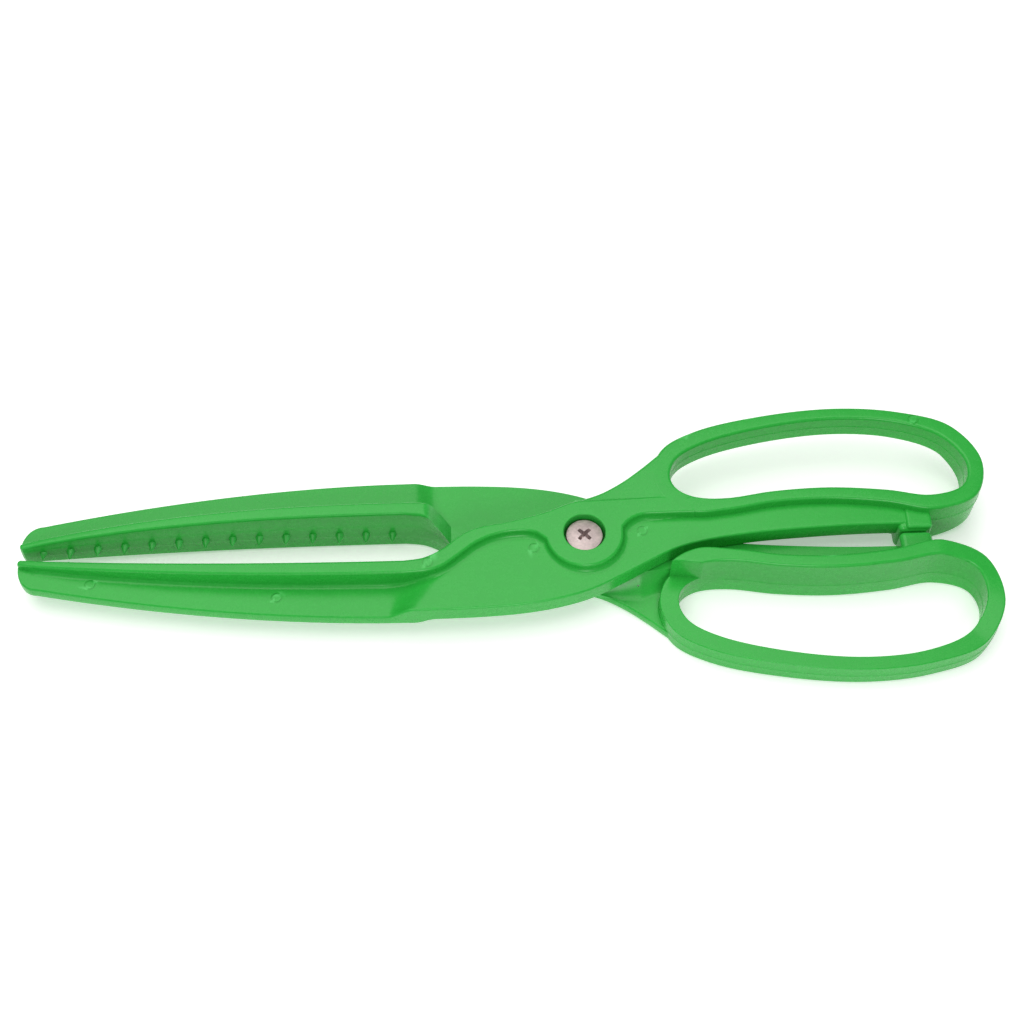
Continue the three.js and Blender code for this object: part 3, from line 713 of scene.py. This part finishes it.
# The plastic: a glossy green with a slow drift of tone, with a painted highlight on its edges and painted
# shade in its corners.
def group(name, inputs, outputs):
    """An empty shader group with the given sockets, and its two end nodes."""
    tree = bpy.data.node_groups.new(name, "ShaderNodeTree")
    for label, kind, value in inputs:
        tree.interface.new_socket(label, in_out="INPUT", socket_type=kind).default_value = value
    for label, kind in outputs:
        tree.interface.new_socket(label, in_out="OUTPUT", socket_type=kind)
    return tree, tree.nodes.new("NodeGroupInput"), tree.nodes.new("NodeGroupOutput")


def noise(tree, vector, scale, detail, roughness=0.55):
    """A noise from 0 to 1 that changes over the given place."""
    node = tree.nodes.new("ShaderNodeTexNoise")
    node.inputs["Detail"].default_value = detail
    node.inputs["Roughness"].default_value = roughness
    tree.links.new(vector, node.inputs["Vector"])
    if isinstance(scale, (int, float)):
        node.inputs["Scale"].default_value = scale
    else:
        tree.links.new(scale, node.inputs["Scale"])
    return node.outputs["Fac"]


def maths(tree, operation, a, b):
    """The sum, product or other result of two values, each a number or a socket."""
    node = tree.nodes.new("ShaderNodeMath")
    node.operation = operation
    for socket, value in zip(node.inputs, (a, b)):
        if isinstance(value, (int, float)):
            socket.default_value = value
        else:
            tree.links.new(value, socket)
    return node.outputs[0]


def spread(tree, value, low, high, to_low, to_high):
    """The value's range from low to high, spread to its new ends."""
    node = tree.nodes.new("ShaderNodeMapRange")
    node.inputs["From Min"].default_value = low
    node.inputs["From Max"].default_value = high
    for label, end in (("To Min", to_low), ("To Max", to_high)):
        if isinstance(end, (int, float)):
            node.inputs[label].default_value = end
        else:
            tree.links.new(end, node.inputs[label])
    tree.links.new(value, node.inputs["Value"])
    return node.outputs["Result"]


def mixed(tree, share, a, b):
    """Colour a going over to colour b as the share goes from 0 to 1."""
    node = tree.nodes.new("ShaderNodeMix")
    node.data_type = "RGBA"
    tree.links.new(share, node.inputs[0])
    for socket, value in ((node.inputs[6], a), (node.inputs[7], b)):
        if isinstance(value, tuple):
            socket.default_value = value
        else:
            tree.links.new(value, socket)
    return node.outputs[2]


# Grain: a slow drift of tone, a finer mottle and a fine surface texture, all from the piece's own place.
grain, grain_in, grain_out = group("surface_grain", [
    ("Light", "NodeSocketColor", (1, 1, 1, 1)), ("Dark", "NodeSocketColor", (0.5, 0.5, 0.5, 1)),
    ("Drift Scale", "NodeSocketFloat", 30.0), ("Mottle Scale", "NodeSocketFloat", 400.0),
    ("Texture Scale", "NodeSocketFloat", 2500.0), ("Roughness Low", "NodeSocketFloat", 0.3),
    ("Roughness High", "NodeSocketFloat", 0.45),
], [("Color", "NodeSocketColor"), ("Roughness", "NodeSocketFloat"), ("Height", "NodeSocketFloat")])
where = grain.nodes.new("ShaderNodeTexCoord").outputs["Object"]
drift = noise(grain, where, grain_in.outputs["Drift Scale"], 3)
mottle = noise(grain, where, grain_in.outputs["Mottle Scale"], 4)
texture = noise(grain, where, grain_in.outputs["Texture Scale"], 5, 0.6)
COARSE_SHARE = 0.6  # of the slow drift in the tone, and of the mottle in the roughness
tone = maths(grain, "ADD", spread(grain, drift, 0.3, 0.7, 0.0, COARSE_SHARE),
             spread(grain, mottle, 0.35, 0.65, 0.0, 1 - COARSE_SHARE))
tinted = mixed(grain, tone, grain_in.outputs["Dark"], grain_in.outputs["Light"])
grain.links.new(tinted, grain_out.inputs["Color"])
polish = maths(grain, "ADD", maths(grain, "MULTIPLY", mottle, COARSE_SHARE),
               maths(grain, "MULTIPLY", texture, 1 - COARSE_SHARE))
dulled = spread(grain, polish, 0.35, 0.65, grain_in.outputs["Roughness Low"],
                grain_in.outputs["Roughness High"])
grain.links.new(dulled, grain_out.inputs["Roughness"])
grain.links.new(texture, grain_out.inputs["Height"])

# Edges and hollows: raised edges made paler and broken up by a noise, and hollows made darker. On the green
# plastic the paler edges are a painted highlight; the darker hollows are painted shade on every part. A flat
# face has a pointiness of about 0.5.
EDGE_POINTS = (0.53, 0.60)
HOLLOW_POINTS = (0.36, 0.45)
painted_light_and_wear, painted_light_and_wear_in, painted_light_and_wear_out = group("edge_painted_light_and_wear", [
    ("Pointiness", "NodeSocketFloat", 0.5), ("Scale", "NodeSocketFloat", 300.0),
    ("Amount", "NodeSocketFloat", 0.5),
], [("Mask", "NodeSocketFloat"), ("Hollow Shade", "NodeSocketFloat")])
raised = spread(painted_light_and_wear, painted_light_and_wear_in.outputs["Pointiness"], *EDGE_POINTS, 0.0, 1.0)
hollow_shade_mask = spread(painted_light_and_wear, painted_light_and_wear_in.outputs["Pointiness"], *HOLLOW_POINTS, 1.0, 0.0)
painted_light_and_wear.links.new(hollow_shade_mask, painted_light_and_wear_out.inputs["Hollow Shade"])
where = painted_light_and_wear.nodes.new("ShaderNodeTexCoord").outputs["Object"]
broken = spread(painted_light_and_wear, noise(painted_light_and_wear, where, painted_light_and_wear_in.outputs["Scale"], 4), 0.4, 0.6, 0.35, 1.0)
edge_highlight_and_wear_mask = maths(painted_light_and_wear, "MULTIPLY", maths(painted_light_and_wear, "MULTIPLY", raised, broken), painted_light_and_wear_in.outputs["Amount"])
painted_light_and_wear.links.new(edge_highlight_and_wear_mask, painted_light_and_wear_out.inputs["Mask"])


def finish(name, light, dark, edge_highlight_and_wear, deep, scales, roughness, edge_highlight_and_wear_values, bump, **constants):
    """A material from the two groups. The rest of its values go on the shader's own sockets."""
    material = bpy.data.materials.new(name)
    material.use_nodes = True
    tree = material.node_tree
    principled = tree.nodes["Principled BSDF"]
    surface = tree.nodes.new("ShaderNodeGroup")
    surface.node_tree = grain
    surface.inputs["Light"].default_value = (*light, 1)
    surface.inputs["Dark"].default_value = (*dark, 1)
    for label, value in zip(("Drift Scale", "Mottle Scale", "Texture Scale"), scales):
        surface.inputs[label].default_value = value
    surface.inputs["Roughness Low"].default_value, surface.inputs["Roughness High"].default_value = roughness
    edges = tree.nodes.new("ShaderNodeGroup")
    edges.node_tree = painted_light_and_wear
    edges.inputs["Scale"].default_value, edges.inputs["Amount"].default_value = edge_highlight_and_wear_values
    tree.links.new(tree.nodes.new("ShaderNodeNewGeometry").outputs["Pointiness"], edges.inputs["Pointiness"])
    # Paler edges (a painted highlight on the green plastic) and darker hollows (painted shade).
    brightened = mixed(tree, edges.outputs["Mask"], surface.outputs["Color"], (*edge_highlight_and_wear, 1))
    coloured = mixed(tree, edges.outputs["Hollow Shade"], brightened, (*deep, 1))
    tree.links.new(coloured, principled.inputs["Base Color"])
    tree.links.new(surface.outputs["Roughness"], principled.inputs["Roughness"])
    rough = tree.nodes.new("ShaderNodeBump")
    rough.inputs["Strength"].default_value, rough.inputs["Distance"].default_value = bump
    tree.links.new(surface.outputs["Height"], rough.inputs["Height"])
    tree.links.new(rough.outputs["Normal"], principled.inputs["Normal"])
    for label, value in constants.items():
        principled.inputs[label.replace("_", " ")].default_value = value
    return material


# The green's paler edges are a painted highlight and its darker hollows painted shade.
green = finish("green_plastic", light=(0.028, 0.440, 0.052), dark=(0.023, 0.405, 0.045),
               edge_highlight_and_wear=(0.140, 0.740, 0.200), deep=(0.012, 0.290, 0.025), scales=(28.0, 420.0, 2600.0),
               roughness=(0.24, 0.30), edge_highlight_and_wear_values=(350.0, 0.5), bump=(0.04, 0.00001),
               Subsurface_Weight=0.05, Subsurface_Radius=(0.3, 1.0, 0.35), Subsurface_Scale=0.0015,
               IOR=1.46, Specular_IOR_Level=0.38)
moulding.data.materials.clear()
moulding.data.materials.append(green)

place = Matrix.Translation((PIVOT_X, PIVOT_Y, PIVOT_Z))
turned_over = place @ Matrix.Rotation(math.pi, 4, "X")
rear_mesh = moulding.data.copy()
moulding.data.transform(place)
moulding.name = "front_half_moulding"
rear_mesh.transform(turned_over)
rear = bpy.data.objects.new("rear_half_moulding", rear_mesh)
bpy.context.scene.collection.objects.link(rear)
for piece, body, node in ((moulding, "front", "front_half"), (rear, "rear", "rear_half")):
    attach(piece, body)
    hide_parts(node)

# ---- Teeth ----
# Fourteen blunt points stand along each gripping wall, moulded in one with it. Near the tip they get
# shorter, so that the two rows never touch.
TEETH = 14
TOOTH_THROAT_MARGIN = 3.5  # from the throat to the first tooth
TOOTH_TIP_MARGIN = 5.6  # from the last tooth to the jaw's tip
TOOTH_RADIUS = 1.15
TOOTH_HEIGHT = 2.5
TOOTH_CLEARANCE = 0.5  # from a point to the middle of the mouth
TOOTH_LINE_RISE = 2.0  # the row's height above the middle of the wall, at the throat
TOOTH_TAPER = 0.5  # how much narrower the point is than the root
TOOTH_SUNK = 0.3  # share of the height that is sunk in the wall
TOOTH_SIDES = 28
TOOTH_RINGS = 20

tree = bpy.data.node_groups.new("tooth_row", "GeometryNodeTree")
tree.is_modifier = True
tree.interface.new_socket("Roots", in_out="INPUT", socket_type="NodeSocketGeometry")
sockets = {}
for label, kind, value in (("Radius", "NodeSocketFloat", 0.001), ("Taper", "NodeSocketFloat", 0.5),
                           ("Sunk", "NodeSocketFloat", 0.3), ("Material", "NodeSocketMaterial", None)):
    socket = tree.interface.new_socket(label, in_out="INPUT", socket_type=kind)
    if value is not None:
        socket.default_value = value
    sockets[label] = socket.identifier
tree.interface.new_socket("Teeth", in_out="OUTPUT", socket_type="NodeSocketGeometry")
source, sink = tree.nodes.new("NodeGroupInput"), tree.nodes.new("NodeGroupOutput")
ball = tree.nodes.new("GeometryNodeMeshUVSphere")
ball.inputs["Segments"].default_value = TOOTH_SIDES
ball.inputs["Rings"].default_value = TOOTH_RINGS
ball.inputs["Radius"].default_value = 1.0
parts = tree.nodes.new("ShaderNodeSeparateXYZ")
tree.links.new(tree.nodes.new("GeometryNodeInputPosition").outputs[0], parts.inputs[0])
above = maths(tree, "MAXIMUM", parts.outputs["Z"], 0.0)
below = maths(tree, "MULTIPLY", maths(tree, "MINIMUM", parts.outputs["Z"], 0.0), source.outputs["Sunk"])
narrow = maths(tree, "SUBTRACT", 1.0, maths(tree, "MULTIPLY", above, source.outputs["Taper"]))
shaped = tree.nodes.new("ShaderNodeCombineXYZ")
tree.links.new(maths(tree, "MULTIPLY", parts.outputs["X"], narrow), shaped.inputs["X"])
tree.links.new(maths(tree, "MULTIPLY", parts.outputs["Y"], narrow), shaped.inputs["Y"])
tree.links.new(maths(tree, "ADD", above, below), shaped.inputs["Z"])
shape = tree.nodes.new("GeometryNodeSetPosition")
tree.links.new(ball.outputs["Mesh"], shape.inputs["Geometry"])
tree.links.new(shaped.outputs[0], shape.inputs["Position"])
height = tree.nodes.new("GeometryNodeInputNamedAttribute")
height.inputs["Name"].default_value = "height"
size = tree.nodes.new("ShaderNodeCombineXYZ")
tree.links.new(source.outputs["Radius"], size.inputs["X"])
tree.links.new(source.outputs["Radius"], size.inputs["Y"])
tree.links.new(height.outputs["Attribute"], size.inputs["Z"])
row_of = tree.nodes.new("GeometryNodeInstanceOnPoints")
tree.links.new(source.outputs["Roots"], row_of.inputs["Points"])
tree.links.new(shape.outputs["Geometry"], row_of.inputs["Instance"])
row_of.inputs["Rotation"].default_value = (-math.pi / 2, 0, 0)
tree.links.new(size.outputs[0], row_of.inputs["Scale"])
real = tree.nodes.new("GeometryNodeRealizeInstances")
tree.links.new(row_of.outputs["Instances"], real.inputs["Geometry"])
smooth = tree.nodes.new("GeometryNodeSetShadeSmooth")
tree.links.new(real.outputs["Geometry"], smooth.inputs["Geometry"])
coat = tree.nodes.new("GeometryNodeSetMaterial")
tree.links.new(smooth.outputs["Geometry"], coat.inputs["Geometry"])
tree.links.new(source.outputs["Material"], coat.inputs["Material"])
tree.links.new(coat.outputs["Geometry"], sink.inputs["Teeth"])

tooth_x = -np.linspace(THROAT + TOOTH_THROAT_MARGIN, JAW_REACH - TOOTH_TIP_MARGIN, TEETH)
tooth_wall = mouth_half(tooth_x)
roots = bpy.data.meshes.new("tooth_roots")
roots.from_pydata([Vector(root) * MM for root in zip(
    tooth_x, -tooth_wall - DRAFT, TOOTH_LINE_RISE * (1 - jaw_share(tooth_x)))], [], [])
roots.attributes.new("height", "FLOAT", "POINT").data.foreach_set(
    "value", (np.minimum(TOOTH_HEIGHT, tooth_wall - TOOTH_CLEARANCE) + DRAFT) * MM)
front_teeth = bpy.data.objects.new("front_teeth", roots)
bpy.context.scene.collection.objects.link(front_teeth)
row_modifier = front_teeth.modifiers.new("teeth", "NODES")
row_modifier.node_group = tree
row_modifier[sockets["Radius"]] = TOOTH_RADIUS * MM
row_modifier[sockets["Taper"]] = TOOTH_TAPER
row_modifier[sockets["Sunk"]] = TOOTH_SUNK
row_modifier[sockets["Material"]] = green
baked(front_teeth)
rear_teeth_mesh = front_teeth.data.copy()
front_teeth.data.transform(place)
rear_teeth_mesh.transform(turned_over)
rear_teeth = bpy.data.objects.new("rear_teeth", rear_teeth_mesh)
bpy.context.scene.collection.objects.link(rear_teeth)
for piece, body in ((front_teeth, "front"), (rear_teeth, "rear")):
    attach(piece, body)

# ---- Pivot screw ----
# An M5 pan head machine screw of dull plated steel with a cross recess. It goes through both halves from
# the outer face, and its head sits at the bottom of the round recess in the boss.
SCREW_RADIUS = 2.5
SCREW_END = -7.0
SCREW_CHAMFER = 0.5
THREAD_PITCH = 0.8
THREAD_DEPTH = 0.42
THREAD_TOP = 1.4
HEAD_RADIUS = 4.75
HEAD_SEAT = 3.0
HEAD_TOP = 6.7
HEAD_CROWN = 0.576  # how much lower the head's edge is than its middle
HEAD_FACE = 0.985  # share of the head's width that the crown takes
HEAD_EDGE = 0.25
CROSS_SPAN = 4.4
CROSS_SLOT = 1.0
CROSS_DEPTH = 2.2
SCREW_SIDES = 96

out = np.linspace(0, 1, 14)
crown = [(HEAD_RADIUS * HEAD_FACE * r, HEAD_TOP - HEAD_CROWN * r * r) for r in out]
rim_edge = [(HEAD_RADIUS - 0.1 * (1 - math.sin(a)), HEAD_TOP - HEAD_CROWN - 0.3 * (1 - math.cos(a)))
            for a in np.linspace(0.5, math.pi / 2, 5)]
head = crown + rim_edge
head += [(HEAD_RADIUS, HEAD_SEAT + HEAD_EDGE + 0.05), (HEAD_RADIUS - HEAD_EDGE, HEAD_SEAT), (0, HEAD_SEAT)]
screw = turned(head[::-1], SCREW_SIDES, name="pivot_screw_steel")

rows = []
for z in np.concatenate([[SCREW_END, SCREW_END + SCREW_CHAMFER * 0.5],
                         np.arange(SCREW_END + SCREW_CHAMFER, THREAD_TOP + 0.6, THREAD_PITCH / 8),
                         [HEAD_SEAT + 0.4]]):
    row = []
    for angle in np.linspace(0, 2 * math.pi, SCREW_SIDES, endpoint=False):
        phase = (z / THREAD_PITCH - angle / (2 * math.pi)) % 1
        cut = THREAD_DEPTH * (1 - abs(2 * phase - 1)) * float(1 - step(z, THREAD_TOP - 0.8, THREAD_TOP))
        radius = min(SCREW_RADIUS - cut, SCREW_RADIUS - SCREW_CHAMFER + max(0.0, z - SCREW_END))
        row.append((radius * math.cos(angle), radius * math.sin(angle), z))
    rows.append(row)
combine(screw, solid(rows, name="shank"), "UNION")

# The driver recess: four tapering wings round a pointed middle.
rows = []
for depth, share in ((0.6, 1.08), (0, 1.0), (-0.8, 0.86), (-1.5, 0.66), (-CROSS_DEPTH, 0.30)):
    reach, slot = CROSS_SPAN / 2 * share, CROSS_SLOT / 2 * (0.55 + 0.45 * share)
    inner = slot * 1.25
    row = []
    for turn in range(4):
        c, d = math.cos(turn * math.pi / 2 + math.pi / 4), math.sin(turn * math.pi / 2 + math.pi / 4)
        for u, v in ((inner, -slot), (reach - 0.2, -slot), (reach, -slot * 0.6), (reach, slot * 0.6),
                     (reach - 0.2, slot)):
            row.append((u * c - v * d, u * d + v * c, HEAD_TOP + depth))
    rows.append(row)
combine(screw, solid(rows[::-1], name="cross"), "DIFFERENCE")
smoothed(screw.data, math.radians(30))
# The screw's near-black hollows, the cross recess most of all, are painted shade.
screw_steel = finish("screw_steel", light=(0.66, 0.54, 0.53), dark=(0.34, 0.28, 0.27),
                     edge_highlight_and_wear=(0.74, 0.66, 0.65), deep=(0.02, 0.015, 0.015), scales=(420.0, 1700.0, 5200.0),
                     roughness=(0.38, 0.58), edge_highlight_and_wear_values=(900.0, 0.5), bump=(0.5, 0.00012),
                     Metallic=0.75, IOR=2.0)
screw.data.materials.clear()
screw.data.materials.append(screw_steel)
screw.data.transform(place)
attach(screw, "rear")
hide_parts("pivot_screw")

# ---- Lock nut ----
# An M5 zinc-plated lock nut in the matching recess underneath: a chamfered hexagon with a round collar
# that is rolled in over the nylon ring.
NUT_FLATS = 8.0
NUT_CORNER = NUT_FLATS / 2 / math.cos(math.pi / 6)
NUT_CHAMFER = 0.42
NUT_SEAT = -3.0
NUT_BOTTOM = -7.7
COLLAR_HEIGHT = 1.5
COLLAR_RADIUS = 3.9
COLLAR_ROUND = 0.45
COLLAR_LIP = 0.3
POCKET_DEPTH = 2.1
NUT_BORE = 2.8
POCKET_RADIUS = 3.45
LIP_RADIUS = 3.05

hexagon = [(NUT_CORNER * math.cos(a), NUT_CORNER * math.sin(a)) for a in np.arange(6) * math.pi / 3]
nut_face = NUT_BOTTOM + COLLAR_HEIGHT
nut = solid([[(x, y, z) for x, y in hexagon] for z in (nut_face, NUT_SEAT)], name="lock_nut_steel")
chamfers = [(0, NUT_BOTTOM - 1), (NUT_CORNER - 3 * NUT_CHAMFER, nut_face - 0.01),
            (NUT_CORNER + 0.02, nut_face + 0.72), (NUT_CORNER + 0.02, NUT_SEAT - NUT_CHAMFER),
            (NUT_CORNER - 2 * NUT_CHAMFER, NUT_SEAT + 0.01), (0, NUT_SEAT + 0.01)]
combine(nut, turned(chamfers), "INTERSECT")
collar = [(0, NUT_BOTTOM), (COLLAR_RADIUS - COLLAR_ROUND, NUT_BOTTOM)]
collar += [(COLLAR_RADIUS - COLLAR_ROUND * (1 - math.sin(a)), NUT_BOTTOM + COLLAR_ROUND * (1 - math.cos(a)))
           for a in np.linspace(0.3, math.pi / 2, 5)]
collar += [(COLLAR_RADIUS, nut_face), (0, nut_face + 0.5)]
combine(nut, turned(collar), "UNION")
bore = [(0, NUT_BOTTOM - 1), (LIP_RADIUS, NUT_BOTTOM - 1), (LIP_RADIUS, NUT_BOTTOM + COLLAR_LIP),
        (POCKET_RADIUS, NUT_BOTTOM + COLLAR_LIP), (POCKET_RADIUS, NUT_BOTTOM + POCKET_DEPTH),
        (NUT_BORE, NUT_BOTTOM + POCKET_DEPTH), (NUT_BORE, NUT_SEAT - 0.3), (NUT_BORE + 0.3, NUT_SEAT),
        (NUT_BORE + 0.3, NUT_SEAT + 1), (0, NUT_SEAT + 1)]
combine(nut, turned(bore), "DIFFERENCE")
smoothed(nut.data, math.radians(30))
# The nut's darker hollows are painted shade.
nut_steel = finish("nut_steel", light=(0.62, 0.64, 0.66), dark=(0.48, 0.50, 0.52),
                   edge_highlight_and_wear=(0.80, 0.81, 0.82), deep=(0.10, 0.10, 0.10), scales=(220.0, 1300.0, 5200.0),
                   roughness=(0.28, 0.45), edge_highlight_and_wear_values=(800.0, 0.6), bump=(0.25, 0.00006), Metallic=1.0)
nut.data.materials.clear()
nut.data.materials.append(nut_steel)
nut.data.transform(place)
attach(nut, "rear")
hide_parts("lock_nut")

# ---- Nylon ring ----
# The white nylon ring inside the nut's collar grips the screw's thread so that the pivot can't work loose.
RING_INNER = 2.65
RING_OUTER = 3.15
RING_LOW = NUT_BOTTOM + 0.6
RING_HEIGHT = 1.2
RING_ROUND = 0.08
near, far = RING_INNER + RING_ROUND, RING_OUTER - RING_ROUND
low, high = RING_LOW + RING_ROUND, RING_LOW + RING_HEIGHT - RING_ROUND
profile = [(near, RING_LOW), (far, RING_LOW), (RING_OUTER, low), (RING_OUTER, high),
           (far, high + RING_ROUND), (near, high + RING_ROUND), (RING_INNER, high), (RING_INNER, low)]
rows = [[(radius * math.cos(angle), radius * math.sin(angle), z) for radius, z in profile]
        for angle in np.linspace(0, 2 * math.pi, 72, endpoint=False)]
ring = solid(rows, closed_rows=True, name="nylon_ring")
smoothed(ring.data, math.radians(50))
# The ring's darker hollows are painted shade.
nylon = finish("white_nylon", light=(0.86, 0.86, 0.83), dark=(0.78, 0.78, 0.74),
               edge_highlight_and_wear=(0.92, 0.92, 0.90), deep=(0.60, 0.60, 0.56), scales=(200.0, 1200.0, 5000.0),
               roughness=(0.42, 0.58), edge_highlight_and_wear_values=(700.0, 0.3), bump=(0.15, 0.00005),
               Subsurface_Weight=0.2, Subsurface_Radius=(1.0, 1.0, 0.9), Subsurface_Scale=0.0008)
ring.data.materials.append(nylon)
ring.data.transform(place)
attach(ring, "rear")
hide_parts("lock_nut_insert")

# The tool's two boxes: the one it was designed to, and the one of these pieces.
low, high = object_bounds()
